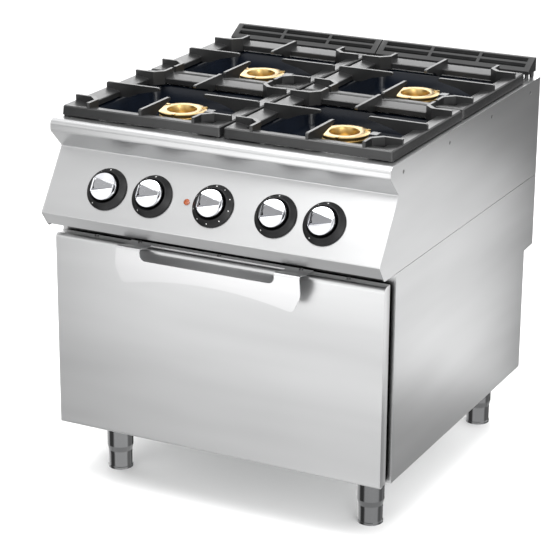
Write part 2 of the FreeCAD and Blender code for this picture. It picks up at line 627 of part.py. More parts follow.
def controls():
    bezel = turned([("spindle_hole", "0"), ("bezel_round", "0"), ("bezel_round", "2.5"),
                    ("bezel_mouth", "bezel_high"), ("bezel_mouth - 3", "bezel_high"),
                    ("knob_round + 1.5", "bezel_high - 4"), ("knob_round + 1.5", "bezel_floor"),
                    ("spindle_hole", "bezel_floor")])
    knob = turned([("0", "knob_low"), ("knob_round", "knob_low"), ("knob_round", "knob_low + 12"),
                   ("knob_round - 3", "knob_low + 20"), ("knob_round - 11", "knob_high - 5"),
                   ("0", "knob_high")], {3: 6, 4: 9})
    grip = slab("XY_Plane", [("-7", "knob_round - 4"), ("-12", "15 - knob_round"),
                             ("12", "15 - knob_round"), ("7", "knob_round - 4")],
                "knob_low + 6", "knob_high - knob_low - 7")
    bore = rod("spindle_round + running", "knob_high - knob_low - 8", (0, 0, 0))
    places = {**GAS_KNOBS, 0: "0"}
    handles = fuse(knob, grip)
    for number, x in places.items():
        name = f"gas_knob_{number}" if number else "oven_knob"
        hollow = cut(handles, move(group(bore), 0, 0, "knob_low - 1"))
        node(name, on_panel(group(hollow), x, "knob_up"))
        if number:
            spindle = rod("spindle_round", "valve_near + 30 + knob_high - 14", (0, 0, 0))
            node(f"valve_spindle_{number}", on_panel(spindle, x, "knob_up", "-valve_near - 30"))
    node("dial_bezels", group(*[on_panel(group(bezel), x, "knob_up") for x in places.values()]))

    lens = turned([("0", "-4"), ("lamp_round - 1.1", "-4"), ("lamp_round - 1.1", "0"), ("lamp_round", "0"),
                   ("lamp_round", "1"), ("lamp_round - 3", "3.5"), ("0", "4")])
    node("lamp_lens", on_panel(group(lens), "lamp_x", "knob_up"))


# ---------------------------------------------------------------- rear

def flue():
    profile = [("grille_front", "grille_low"), ("depth/2", "grille_low"), ("depth/2", "grille_top"),
               ("depth/2 - 8", "grille_top"), ("grille_front", "grille_front_top")]
    for word, side in SIDES.items():
        low, high = ("-grille_x", "-grille_gap") if side < 0 else ("grille_gap", "grille_x")
        wedge = slab("YZ_Plane", profile, low, f"{high} - ({low})")
        hollow = slab("YZ_Plane", [("grille_front + grille_wall", "grille_low - 1"),
                                   ("depth/2 - grille_wall", "grille_low - 1"),
                                   ("depth/2 - grille_wall", "grille_top - grille_wall - 2"),
                                   ("grille_front + grille_wall", "grille_front_top - grille_wall + 1")],
                      f"{low} + grille_wall", f"{high} - ({low}) - 2 * grille_wall")
        middle, half = f"(({low}) + ({high})) / 2", f"(({high}) - ({low})) / 2"
        slots = []
        for row in (17, 34):
            for column in (-1, 0, 1):
                centre = f"{middle} + {column} * {half} * 0.63"
                slots.append(box((f"{centre} - 57", f"{centre} + 57"),
                                 (f"grille_front + {row} - 4", f"grille_front + {row} + 4"),
                                 ("grille_low + 1", "grille_top + 5")))
        posts = [rod(5, "grille_low - deck + 8", (f"{end} * ({half} - 7) + {middle}", y, "deck"))
                 for end in (-1, 1) for y in ("grille_front + 8", "depth/2 - 8")]
        node(f"flue_grille_{word}", fuse(cut(wedge, hollow, *slots), *posts))

    tube = box(("-duct_x", "duct_x"), ("grille_front + 5 - duct_wall", "depth/2 - 7 + duct_wall"),
               ("duct_low", "deck - skin"))
    way = box(("duct_wall - duct_x", "duct_x - duct_wall"), ("grille_front + 5", "depth/2 - 7"),
              ("duct_low - 5", "deck + 5"))
    node("flue_duct", cut(tube, way))


def cable_gland():
    body = rod("gland_round", 22, ("gland_x", "low_rear", "inlet_z"), "y")
    neck = rod("gland_bore + 1.9", 12, ("gland_x", "low_rear - 12", "inlet_z"), "y")
    bore = rod("gland_bore", 60, ("gland_x", "low_rear - 20", "inlet_z"), "y")
    node("cable_gland", cut(fuse(body, neck), bore))


SIDE_SCREWS = (-341, -97, 145, 387)
GRIP_SCREWS = ("-screw_x", "0", "screw_x")
DOOR_SCREWS = ("-screw_far", *GRIP_SCREWS, "screw_far")

for make in (upper_casing, worktop, lower_casing, legs, side_screws, oven, oven_thermostat,
             door_gasket, door, door_handle, hinge_arms, pan_supports, drip_basins, burners,
             gas_line, controls, flue, cable_gland):
    make()
doc.recompute()

for item in doc.Objects:
    if "Invalid" in item.State or "Error" in item.State:
        raise RuntimeError(f"{item.Name} ({item.Label}) failed: {item.State} {item.getStatusString()}")
for name, part in nodes.items():
    if part.Shape.isNull() or not part.Shape.isValid() or not part.Shape.Solids:
        raise RuntimeError(f"{name} has no valid solid")

os.makedirs("parts", exist_ok=True)
whole = FreeCAD.BoundBox()
for name, part in nodes.items():
    part.Shape.exportStep(f"parts/{name}.step")
    whole.add(part.Shape.BoundBox)
print(len(nodes), "nodes", whole)
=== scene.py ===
import json
import math

import bmesh
import bpy
from mathutils import Matrix, Vector


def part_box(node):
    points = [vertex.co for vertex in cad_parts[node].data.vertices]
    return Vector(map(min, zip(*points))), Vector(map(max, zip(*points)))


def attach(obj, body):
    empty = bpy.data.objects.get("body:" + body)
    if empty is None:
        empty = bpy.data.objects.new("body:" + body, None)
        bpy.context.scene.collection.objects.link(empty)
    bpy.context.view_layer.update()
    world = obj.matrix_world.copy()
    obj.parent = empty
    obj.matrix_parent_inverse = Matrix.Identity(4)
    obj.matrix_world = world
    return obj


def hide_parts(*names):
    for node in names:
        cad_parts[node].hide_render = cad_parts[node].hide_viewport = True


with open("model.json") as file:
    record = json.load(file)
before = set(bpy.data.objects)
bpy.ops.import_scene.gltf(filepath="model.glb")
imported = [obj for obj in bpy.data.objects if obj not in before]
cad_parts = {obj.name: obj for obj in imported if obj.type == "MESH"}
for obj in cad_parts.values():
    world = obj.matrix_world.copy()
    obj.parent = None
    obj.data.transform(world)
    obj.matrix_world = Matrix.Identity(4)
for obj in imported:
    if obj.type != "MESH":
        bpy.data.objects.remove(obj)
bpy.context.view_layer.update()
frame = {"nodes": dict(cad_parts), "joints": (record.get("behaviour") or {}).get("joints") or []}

# The looks of a free-standing commercial range. Lengths inside the builders are millimetres
# and become metres where a mesh is made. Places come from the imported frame.

MM = 0.001
NODES = frame["nodes"]
SUPPORTS = (1, 2, 3, 4)
GAS_KNOBS = (1, 2, 3, 4)


def box_mm(node):
    low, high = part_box(node)
    return Vector(low) / MM, Vector(high) / MM


def centre_mm(node):
    low, high = box_mm(node)
    return (low + high) / 2


# ---------------------------------------------------------------- materials

def new_material(name):
    material = bpy.data.materials.new(name)
    material.use_nodes = True
    tree = material.node_tree
    shader = tree.nodes["Principled BSDF"]
    return material, tree, shader


def add(tree, kind, **settings):
    made = tree.nodes.new(kind)
    for key, value in settings.items():
        if key in made.inputs:
            made.inputs[key].default_value = value
        else:
            setattr(made, key, value)
    return made


def object_coordinates(tree, scale):
    coordinates = add(tree, "ShaderNodeTexCoord")
    mapping = add(tree, "ShaderNodeMapping")
    mapping.inputs["Scale"].default_value = scale
    tree.links.new(coordinates.outputs["Object"], mapping.inputs["Vector"])
    return mapping.outputs["Vector"]


def noise(tree, vector, scale, detail=3.0, roughness=0.5):
    made = add(tree, "ShaderNodeTexNoise", Scale=scale, Detail=detail, Roughness=roughness)
    tree.links.new(vector, made.inputs["Vector"])
    return made.outputs["Fac"]


def ramp(tree, value, *stops):
    made = add(tree, "ShaderNodeValToRGB")
    elements = made.color_ramp.elements
    for index, (place, colour) in enumerate(stops):
        item = elements[index] if index < 2 else elements.new(place)
        item.position = place
        item.color = (*colour, 1.0) if len(colour) == 3 else (colour[0], colour[0], colour[0], 1.0)
    tree.links.new(value, made.inputs["Fac"])
    return made.outputs["Color"]


def rescale(tree, value, low, high):
    made = add(tree, "ShaderNodeMapRange")
    made.inputs["To Min"].default_value = low
    made.inputs["To Max"].default_value = high
    tree.links.new(value, made.inputs["Value"])
    return made.outputs["Result"]


def bump(tree, shader, height, strength, distance):
    made = add(tree, "ShaderNodeBump", Strength=strength, Distance=distance)
    tree.links.new(height, made.inputs["Height"])
    tree.links.new(made.outputs["Normal"], shader.inputs["Normal"])
    return made


def painted_corner_shade(tree, colour, distance):
    """The colour with painted shade: darkened in inner corners and narrow gaps within the distance in metres.
    """
    open_part = add(tree, "ShaderNodeAmbientOcclusion")
    open_part.inputs["Distance"].default_value = distance
    shade_mask = ramp(tree, open_part.outputs["AO"], (0.62, (0.01,)), (0.88, (1.0,)))
    both = add(tree, "ShaderNodeVectorMath", operation="MULTIPLY")
    tree.links.new(colour, both.inputs[0])
    tree.links.new(shade_mask, both.inputs[1])
    return both.outputs["Vector"]


def brushed(name, dark, light, rough, grain, crevice=0.0):
    """Brushed stainless: grain is the direction of the scratches, as an axis letter."""
    material, tree, shader = new_material(name)
    along, across, streak = 6.0, 900.0, 0.08
    scale = [along if axis == grain else across for axis in "xyz"]
    fine = noise(tree, object_coordinates(tree, scale), 1.0, 4.0, 0.7)
    soft = noise(tree, object_coordinates(tree, [1.5 if axis == grain else 9.0 for axis in "xyz"]), 1.0, 2.0)
    colour = ramp(tree, soft, (0.3, dark), (0.7, light))
    # Given a crevice distance in metres, inner corners are darkened with painted shade.
    if crevice:
        colour = painted_corner_shade(tree, colour, crevice)
    tree.links.new(colour, shader.inputs["Base Color"])
    tree.links.new(rescale(tree, fine, rough - streak, rough + streak), shader.inputs["Roughness"])
    shader.inputs["Metallic"].default_value = 1.0
    bump(tree, shader, fine, 0.05, 0.0002)
    return material


def cast_iron():
    material, tree, shader = new_material("cast_iron")
    place = object_coordinates(tree, (1, 1, 1))
    grit = noise(tree, place, 900.0, 3.0, 0.6)
    cloud = noise(tree, place, 14.0, 4.0, 0.6)
    tree.links.new(ramp(tree, cloud, (0.3, (0.006, 0.0062, 0.0064)), (0.75, (0.014, 0.0142, 0.0145))),
                   shader.inputs["Base Color"])
    tree.links.new(rescale(tree, grit, 0.28, 0.46), shader.inputs["Roughness"])
    shader.inputs["Specular IOR Level"].default_value = 0.6
    bump(tree, shader, grit, 0.12, 0.0003)
    return material


def enamel(name, deep, pale, coat=0.6):
    material, tree, shader = new_material(name)
    place = object_coordinates(tree, (1, 1, 1))
    cloud = noise(tree, place, 9.0, 3.0)
    ripple = noise(tree, place, 120.0, 2.0)
    tree.links.new(ramp(tree, cloud, (0.3, deep), (0.8, pale)), shader.inputs["Base Color"])
    tree.links.new(rescale(tree, cloud, 0.16, 0.30), shader.inputs["Roughness"])
    shader.inputs["Specular IOR Level"].default_value = 0.2
    shader.inputs["Coat Weight"].default_value = coat
    shader.inputs["Coat Roughness"].default_value = 0.08
    bump(tree, shader, ripple, 0.06, 0.0004)
    return material


def polished(name, dark, light, rough, wear=0.05, grain=40.0, crevice=0.0):
    """Smooth metal.

    With a crevice distance in metres, inner corners are darkened with painted shade and the ripple is
    broader.
    """
    material, tree, shader = new_material(name)
    place = object_coordinates(tree, (1, 1, 1))
    cloud = noise(tree, place, grain, 4.0, 0.6)
    colour = ramp(tree, cloud, (0.3, dark), (0.7, light))
    if crevice:
        colour = painted_corner_shade(tree, colour, crevice)
    tree.links.new(colour, shader.inputs["Base Color"])
    tree.links.new(rescale(tree, cloud, rough, rough + wear), shader.inputs["Roughness"])
    shader.inputs["Metallic"].default_value = 1.0
    ripple = 60.0 if crevice else 700.0
    bump(tree, shader, noise(tree, place, ripple), 0.01, 0.0001)
    return material


def plastic(name, dark, light, rough, grain=500.0, strength=0.08):
    material, tree, shader = new_material(name)
    place = object_coordinates(tree, (1, 1, 1))
    speck = noise(tree, place, grain, 2.0)
    colour = ramp(tree, noise(tree, place, 30.0), (0.3, dark), (0.7, light))
    tree.links.new(colour, shader.inputs["Base Color"])
    tree.links.new(rescale(tree, speck, rough - 0.05, rough + 0.08), shader.inputs["Roughness"])
    shader.inputs["Specular IOR Level"].default_value = 0.25
    bump(tree, shader, speck, strength, 0.0003)
    return material


def amber():
    material, tree, shader = new_material("lamp_amber")
    place = object_coordinates(tree, (1, 1, 1))
    cloud = noise(tree, place, 160.0)
    colour = ramp(tree, cloud, (0.2, (0.20, 0.035, 0.005)), (0.8, (0.34, 0.075, 0.012)))
    tree.links.new(colour, shader.inputs["Base Color"])
    tree.links.new(rescale(tree, noise(tree, place, 500.0), 0.12, 0.22), shader.inputs["Roughness"])
    shader.inputs["Coat Weight"].default_value = 0.6
    return material


def wool():
    material, tree, shader = new_material("mineral_wool")
    place = object_coordinates(tree, (1, 1, 4))
    fibre = noise(tree, place, 260.0, 6.0, 0.8)
    tree.links.new(ramp(tree, fibre, (0.3, (0.42, 0.34, 0.14)), (0.7, (0.72, 0.63, 0.36))),
                   shader.inputs["Base Color"])
    tree.links.new(rescale(tree, fibre, 0.85, 1.0), shader.inputs["Roughness"])
    bump(tree, shader, fibre, 0.8, 0.002)
    return material


STEEL_DARK, STEEL_LIGHT = (0.50, 0.503, 0.506), (0.58, 0.583, 0.586)
MATERIALS = {
    "front_steel": brushed("front_steel", STEEL_DARK, STEEL_LIGHT, 0.34, "x"),
    # The front frame's steel carries painted shade in its inner corners and narrow gaps.
    "frame_steel": brushed("frame_steel", STEEL_DARK, STEEL_LIGHT, 0.36, "x", crevice=0.02),
    "side_steel": brushed("side_steel", STEEL_DARK, STEEL_LIGHT, 0.38, "y"),
    "handle_steel": brushed("handle_steel", (0.55, 0.55, 0.555), (0.61, 0.61, 0.615), 0.32, "x"),
    "galvanised": brushed("galvanised", (0.42, 0.43, 0.43), (0.58, 0.59, 0.59), 0.5, "z"),
    "inner_steel": brushed("inner_steel", (0.50, 0.50, 0.50), (0.60, 0.60, 0.60), 0.4, "x"),
    # The legs' and feet's steel is darkened as painted shade, for the shade beneath the body.
    "leg_steel": brushed("leg_steel", (0.13, 0.132, 0.135), (0.20, 0.202, 0.205), 0.14, "z"),
    "screw_steel": polished("screw_steel", (0.10, 0.10, 0.10), (0.18, 0.18, 0.18), 0.28),
    "pilot_steel": polished("pilot_steel", (0.16, 0.162, 0.165), (0.24, 0.242, 0.245), 0.42),
    "wire_chrome": polished("wire_chrome", (0.70, 0.70, 0.71), (0.80, 0.80, 0.81), 0.15),
    # The knobs' chrome carries painted shade in its inner corners and grooves.
    "knob_chrome": polished("knob_chrome", (0.56, 0.565, 0.59), (0.64, 0.645, 0.67), 0.04, 0.03,
                            crevice=0.011),
    "brass": polished("brass", (0.42, 0.28, 0.10), (0.54, 0.39, 0.165), 0.26, 0.06, 25.0),
    "copper": polished("copper", (0.62, 0.30, 0.18), (0.80, 0.44, 0.28), 0.25),
    "casting": polished("casting", (0.20, 0.20, 0.20), (0.32, 0.32, 0.32), 0.5, 0.2, 300.0),
    "heater_sheath": polished("heater_sheath", (0.10, 0.09, 0.08), (0.20, 0.17, 0.14), 0.45),
    "cast_iron": cast_iron(),
    "basin_enamel": enamel("basin_enamel", (0.003, 0.0045, 0.008), (0.005, 0.008, 0.015), 0.04),
    "oven_enamel": enamel("oven_enamel", (0.012, 0.012, 0.014), (0.028, 0.028, 0.032), 0.5),
    "dial_black": plastic("dial_black", (0.004, 0.004, 0.0045), (0.009, 0.009, 0.0095), 0.36),
    "mark_white": plastic("mark_white", (0.78, 0.78, 0.77), (0.88, 0.88, 0.87), 0.5),
    "rubber": plastic("rubber", (0.012, 0.012, 0.012), (0.03, 0.03, 0.03), 0.75, 300.0, 0.4),
    "gasket": plastic("gasket", (0.006, 0.006, 0.006), (0.02, 0.02, 0.02), 0.85, 420.0, 0.7),
    "lamp_amber": amber(),
    "mineral_wool": wool(),
}

NODE_LOOKS = {
    "front_steel": ("control_panel", "door_outer_panel", "worktop"),
    "frame_steel": ("front_frame",),
    "side_steel": ("upper_side_left", "upper_side_right", "lower_side_left", "lower_side_right"),
    "handle_steel": ("door_handle",),
    "galvanised": ("upper_back", "lower_back", "base_plate", "flue_duct", "gas_manifold"),
    "inner_steel": ("door_inner_panel", "oven_floor_plate", "hinge_arms", "door_hinge_brackets",
                    "oven_thermostat"),
    "leg_steel": ("leg_sleeves", "foot_1", "foot_2", "foot_3", "foot_4"),
    "screw_steel": ("side_screws", "door_screws"),
    "pilot_steel": ("pilot_burners",),
    "wire_chrome": ("rack_guides", "oven_shelf"),
    "knob_chrome": ("gas_knob_1", "gas_knob_2", "gas_knob_3", "gas_knob_4", "oven_knob"),
    "brass": ("burner_crown_1", "burner_crown_2", "burner_crown_3", "burner_crown_4", "gas_valves",
              "valve_spindle_1", "valve_spindle_2", "valve_spindle_3", "valve_spindle_4"),
    "copper": ("feed_pipes",),
    "casting": ("burner_bodies",),
    "heater_sheath": ("oven_heaters",),
    "cast_iron": ("pan_support_1", "pan_support_2", "pan_support_3", "pan_support_4",
                  "flue_grille_left", "flue_grille_right"),
    "basin_enamel": ("drip_basins",),
    "oven_enamel": ("oven_liner",),
    "dial_black": ("dial_bezels",),
    "rubber": ("cable_gland",),
    "gasket": ("door_gasket",),
    "lamp_amber": ("lamp_lens",),
    "mineral_wool": ("oven_insulation", "door_insulation"),
}
for look, names in NODE_LOOKS.items():
    for name in names:
        for slot in NODES[name].material_slots:
            slot.material = MATERIALS[look]


# ---------------------------------------------------------------- mesh tools

def finish_mesh(name, bm, look, smooth=35):
    """Turn a bmesh in millimetres into an object in metres with a material."""
    bmesh.ops.remove_doubles(bm, verts=bm.verts, dist=0.001)
    bmesh.ops.recalc_face_normals(bm, faces=bm.faces)
    bmesh.ops.scale(bm, vec=(MM, MM, MM), verts=bm.verts)
    mesh = bpy.data.meshes.new(name)
    bm.to_mesh(mesh)
    bm.free()
    made = bpy.data.objects.new(name, mesh)
    bpy.context.scene.collection.objects.link(made)
    mesh.materials.append(MATERIALS[look])
    shade(mesh, smooth)
    return made


def shade(mesh, angle):
    for polygon in mesh.polygons:
        polygon.use_smooth = True
    mesh.set_sharp_from_angle(angle=math.radians(angle))


def apply_modifiers(piece):
    """Replace a piece's mesh with its evaluated mesh and drop the modifiers."""
    graph = bpy.context.evaluated_depsgraph_get()
    graph.update()
    mesh = bpy.data.meshes.new_from_object(piece.evaluated_get(graph))
    old = piece.data
    piece.modifiers.clear()
    piece.data = mesh
    bpy.data.meshes.remove(old)
    return piece


def bevel(piece, width, segments=2, angle=30, smooth=35):
    """Round the edges sharper than the angle, keeping the flats flat."""
    shade(piece.data, smooth)
    modifier = piece.modifiers.new("bevel", "BEVEL")
    modifier.width = width * MM
    modifier.segments = segments
    modifier.limit_method = "ANGLE"
    modifier.angle_limit = math.radians(angle)
    modifier.harden_normals = True
    return apply_modifiers(piece)


def boolean(piece, tools, operation):
    """Join or cut a piece with other pieces, which are then removed."""
    for tool in tools:
        modifier = piece.modifiers.new("boolean", "BOOLEAN")
        modifier.operation = operation
        modifier.solver = "EXACT"
        modifier.object = tool
    apply_modifiers(piece)
    for tool in tools:
        bpy.data.objects.remove(tool)
    return piece


def prism(name, outline, low, high, axis, look):
    """A straight piece from low to high along an axis: outline pairs lie along the other two, in order."""
    order = {"x": (1, 2, 0), "y": (0, 2, 1), "z": (0, 1, 2)}[axis]
    bm = bmesh.new()
    rings = []
    for level in (low, high):
        ring = []
        for u, v in outline:
            spot = [0, 0, 0]
            spot[order[0]], spot[order[1]], spot[order[2]] = u, v, level
            ring.append(bm.verts.new(spot))
        rings.append(ring)
    bm.faces.new(rings[0])
    bm.faces.new(rings[1])
    count = len(outline)
    for i in range(count):
        j = (i + 1) % count
        bm.faces.new((rings[0][i], rings[0][j], rings[1][j], rings[1][i]))
    return finish_mesh(name, bm, look)


def lathe(name, profile, look, steps=72, smooth=35, wave=None):
    """A turned piece about Z: profile is (radius, height) pairs, closed on itself.

    Given a wave, the radius of each point is wave(index in the profile, step round the turn, radius).
    """
    bm = bmesh.new()
    rings = []
    for index, (radius, height) in enumerate(profile):
        ring = []
        for step in range(steps):
            turn = 2 * math.pi * step / steps
            reach = wave(index, step, radius) if wave else radius
            ring.append(bm.verts.new((reach * math.cos(turn), reach * math.sin(turn), height)))
        rings.append(ring)
    for a, b in zip(rings, rings[1:] + rings[:1]):
        for step in range(steps):
            after = (step + 1) % steps
            bm.faces.new((a[step], a[after], b[after], b[step]))
    return finish_mesh(name, bm, look, smooth)


def circle(radius, steps, x=0, y=0):
    """Points of a circle about (x, y), anticlockwise from its right side."""
    turns = [2 * math.pi * step / steps for step in range(steps)]
    return [(x + radius * math.cos(turn), y + radius * math.sin(turn)) for turn in turns]


def rounded_rectangle(half_x, half_y, radius, steps=5):
    """Corner points of a rectangle with round corners, anticlockwise from the right side."""
    points = []
    for quarter, (sx, sy) in enumerate(((1, 1), (-1, 1), (-1, -1), (1, -1))):
        for step in range(steps + 1):
            turn = math.radians(90 * (quarter + step / steps))
            points.append((sx * (half_x - radius) + radius * math.cos(turn),
                           sy * (half_y - radius) + radius * math.sin(turn)))
    return points


def rectangular_ring(name, half_x, half_y, section, corner, look):
    """A section of (inset, height) pairs carried round a rectangle with round corners."""
    bm = bmesh.new()
    rings = []
    for inset, height in section:
        radius = max(corner - inset, 1.0)
        rings.append([bm.verts.new((x, y, height)) for x, y in
                      rounded_rectangle(half_x - inset, half_y - inset, radius)])
    for a, b in zip(rings, rings[1:] + rings[:1]):
        for i in range(len(a)):
            j = (i + 1) % len(a)
            bm.faces.new((a[i], a[j], b[j], b[i]))
    return finish_mesh(name, bm, look)


def copy_of(piece, name, x, y, z=0):
    made = bpy.data.objects.new(name, piece.data.copy())
    bpy.context.scene.collection.objects.link(made)
    made.data.transform(Matrix.Translation(Vector((x, y, z)) * MM))
    return made


def remove(piece):
    bpy.data.objects.remove(piece)


# ---------------------------------------------------------------- pan supports

def pan_support():
    """One cast-iron pan support about its own middle, with heights from the floor."""
    low, high = box_mm("pan_support_1")
    half_x, half_y = (high.x - low.x) / 2, (high.y - low.y) / 2
    deck, top = low.z, high.z
    rim_low, rim_top, rib_low = deck + 3, deck + 24, deck + 5
    half_rib, tip, corner, chamfer = 3.4, 57, 128, 20

    section = [(0, rim_low), (1.8, rim_top - 2.5), (4.5, rim_top), (8, rim_top - 0.4), (36, rim_top - 5),
               (37.5, rim_top - 6.5), (37.5, rim_top - 17), (35, rim_top - 17), (34.5, rim_top - 9),
               (9, rim_top - 5), (7, rim_low)]
    support = rectangular_ring("pan_support", half_x, half_y, section, 7, "cast_iron")

    ribs = []
    for axis, reach in (("x", half_y), ("y", half_x)):
        for side in (-1, 1):
            outline = [(tip, top - 7), (tip - 1.5, top - 3.5), (tip, top - 0.8), (tip + 4, top),
                       (reach - 7, top), (reach - 3.5, top - 2.5), (reach - 3, rim_low + 3),
                       (reach - 30, rib_low + 1), (reach - 60, rib_low + 2), (tip + 50, top - 19)]
            outline = [(side * u, v) for u, v in outline]
            ribs.append(prism("finger", outline, -half_rib, half_rib, axis, "cast_iron"))
    near, far = corner - half_rib, corner + half_rib
    for sx in (-1, 1):
        for sy in (-1, 1):
            outline = [(half_x - 3, near), (half_x - 3, far), (far + chamfer, far), (far, far + chamfer),
                       (far, half_y - 3), (near, half_y - 3), (near, near + chamfer), (near + chamfer, near)]
            outline = [(sx * u, sy * v) for u, v in outline]
            ribs.append(prism("corner_rib", outline, rib_low, top - 1, "z", "cast_iron"))
            pad = lathe("pad", [(0.2, deck), (6, deck), (7, deck + 1), (7, deck + 5), (0.2, deck + 5)],
                        "cast_iron", 20)
            pad.data.transform(Matrix.Translation(Vector((sx * (half_x - 9), sy * (half_y - 9), 0)) * MM))
            ribs.append(pad)
    boolean(support, ribs, "UNION")
    return bevel(support, 1.3, 2, 32, 40)


def place_supports():
    pattern = pan_support()
    for number in SUPPORTS:
        node = f"pan_support_{number}"
        middle = centre_mm(node)
        piece = copy_of(pattern, f"cast_support_{number}", middle.x, middle.y)
        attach(piece, f"support_{number}")
        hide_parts(node)
    remove(pattern)


# ---------------------------------------------------------------- burners and basins

def burner_crown():
    """The brass ring about its own middle, top at height 0: teeth of the flame ports below the rim."""
    ports, port_depth, port_rings = 60, 1.6, (6, 7)

    def teeth(index, step, radius):
        return radius - port_depth if index in port_rings and step % 2 else radius

    profile = [(32.5, -24), (32.5, -2.2), (33.4, -0.6), (35, 0), (51, 0), (54.6, -1.2), (52.4, -5.2),
               (50.2, -9.5), (50.8, -11), (51, -16), (47, -16), (47, -12), (35.5, -12), (34.5, -24)]
    ring = lathe("crown", profile, "brass", 2 * ports, 40, teeth)
    lugs = []
    lug_outline = [(44, -3), (44, 3), (52, 4.2), (57, 2.6), (57, -2.6), (52, -4.2)]
    lug_low, lug_high = -5.5, 1.6
    for turn in (38, 158, 278):
        lug = prism("lug", lug_outline, lug_low, lug_high, "z", "brass")
        lug.data.transform(Matrix.Rotation(math.radians(turn), 4, "Z"))
        lugs.append(bevel(lug, 0.8, 2))
    bowl = lathe("bowl", [(0.2, -23), (6, -23), (7, -17), (9, -16), (16, -22), (33, -22), (33.5, -24.5),
                          (0.2, -24.5)], "brass", 48)
    return join("crown_pattern", [ring, bowl, *lugs])


def join(name, parts):
    """One object from several: each part keeps its own material."""
    bm = bmesh.new()
    looks = []
    for part in parts:
        material = part.data.materials[0]
        if material not in looks:
            looks.append(material)
        start = len(bm.faces)
        bm.from_mesh(part.data)
        bm.faces.ensure_lookup_table()
        for face in bm.faces[start:]:
            face.material_index = looks.index(material)
        remove(part)
    mesh = bpy.data.meshes.new(name)
    bm.to_mesh(mesh)
    bm.free()
    for material in looks:
        mesh.materials.append(material)
    made = bpy.data.objects.new(name, mesh)
    bpy.context.scene.collection.objects.link(made)
    return made


def place_burners():
    pattern = burner_crown()
    for number in SUPPORTS:
        node = f"burner_crown_{number}"
        middle = centre_mm(node)
        piece = copy_of(pattern, f"brass_crown_{number}", middle.x, middle.y, box_mm(node)[1].z)
        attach(piece, "casing")
        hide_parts(node)
    remove(pattern)


def drip_basins():
    """Pressed enamel basins: a flange on the deck, round corners, a raised hole for the burner."""
    low, high = box_mm("drip_basins")
    supports = [centre_mm(f"pan_support_{number}") for number in SUPPORTS]
    half_x = high.x - max(spot.x for spot in supports)
    half_y = high.y - max(spot.y for spot in supports)
    top, floor = high.z, low.z
    section = [(0, top - 1.5), (0, top - 0.3), (0.6, top), (6, top), (9, top - 1.2), (11, top - 5),
               (17, floor + 22), (22, floor + 10), (32, floor + 4), (50, floor + 2), (120, floor + 1.2)]
    bottom = [(118, floor - 0.2), (50, floor + 0.4), (31, floor + 2.4), (20.5, floor + 9), (15.5, floor + 21),
              (9.5, top - 6), (8, top - 2.6), (5.5, top - 1.5)]
    for number, spot in zip(SUPPORTS, supports):
        bm = bmesh.new()
        rings = []
        steps = 8
        for inset, height in section + bottom:
            radius = max(34 - inset, 12)
            rings.append([bm.verts.new((x, y, height)) for x, y in
                          rounded_rectangle(half_x - inset, half_y - inset, radius, steps)])
        loops = rings[:len(section)]
        under = rings[len(section):]
        count = len(rings[0])
        throat = []
        for radius, height in ((60, floor + 1.2), (30, floor + 2.4), (27, floor + 8), (24.6, floor + 8.4),
                               (24.6, floor + 6), (28, floor), (60, floor - 0.2)):
            throat.append([bm.verts.new((radius * math.cos(turn), radius * math.sin(turn), height))
                           for turn in (math.atan2(v.co.y, v.co.x) for v in rings[0])])
        order = loops + throat + under
        for a, b in zip(order, order[1:] + order[:1]):
            for i in range(count):
                j = (i + 1) % count
                bm.faces.new((a[i], a[j], b[j], b[i]))
        piece = finish_mesh(f"enamel_basin_{number}", bm, "basin_enamel", 50)
        piece.data.transform(Matrix.Translation(Vector((spot.x, spot.y, 0)) * MM))
        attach(piece, "casing")
    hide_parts("drip_basins")


# ---------------------------------------------------------------- controls

def panel_frame(node):
    """The matrix, in metres, that stands a pattern on the sloped panel where a knob's node is."""
    joint = [item for item in frame["joints"] if item["name"] == "oven_knob_turn"][0]
    into = Vector(joint["axis"]).normalized()
    foot = Vector(joint["pos_m"]) / MM
    foot.x = centre_mm(node).x
    right = Vector((1, 0, 0))
    up = (-into).cross(right)
    turned = Matrix((right, up, -into)).transposed().to_4x4()
    return Matrix.Translation(foot * MM) @ turned


def knob():
    """A chrome knob: a low skirt, a dome cut away on both sides, and the tapered grip left between."""
    foot, radius, shoulder, rise = 8, 30.2, 19, 21
    taper, top_lean, far = 14, 13, 60
    dome = [(0.2, foot), (radius, foot), (radius + 0.7, foot + 1), (radius + 0.7, shoulder - 2),
            (radius, shoulder)]
    for turn in range(6, 90, 6):
        angle = math.radians(turn)
        dome.append((radius * math.cos(angle), shoulder + rise * math.sin(angle)))
    dome.append((0.2, shoulder + rise))
    body = lathe("knob", dome, "knob_chrome", 96)
    scoops = []
    for side in (-1, 1):
        section = [(7.6, far), (8.4, 32), (9.4, 28.8), (11.6, 27.4), (34, 19.4), (far, 19.4), (far, far)]
        section = [(side * y, z) for y, z in section]
        scoop = prism("scoop", section, -far, far, "x", "knob_chrome")
        scoop.data.transform(Matrix.Rotation(math.radians(-taper * side), 4, "Z"))
        scoops.append(scoop)
    top = prism("top", [(-far, -far), (far, -far), (far, far), (-far, far)], 0, 40, "z", "knob_chrome")
    lean = Matrix.Rotation(math.radians(top_lean), 4, "Y")
    top.data.transform(Matrix.Translation((-12 * MM, 0, 37.6 * MM)) @ lean)
    heel = prism("heel", circle(21, 60, -35, 43), -40, 40, "y", "knob_chrome")
    boolean(body, [*scoops, top, heel], "DIFFERENCE")
    return bevel(body, 0.8, 2, 24, 24)


def place_knobs():
    pattern = knob()
    for number in (0, *GAS_KNOBS):
        node = f"gas_knob_{number}" if number else "oven_knob"
        piece = copy_of(pattern, f"chrome_{node}", 0, 0)
        piece.data.transform(panel_frame(node))
        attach(piece, f"knob_{number}" if number else "oven_dial")
        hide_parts(node)
    remove(pattern)


# The (radius, height) of the lower and upper ends of the dial's cone, which carries the marks.
CONE_FOOT, CONE_TOP = (45, 4.6), (38.6, 12.4)


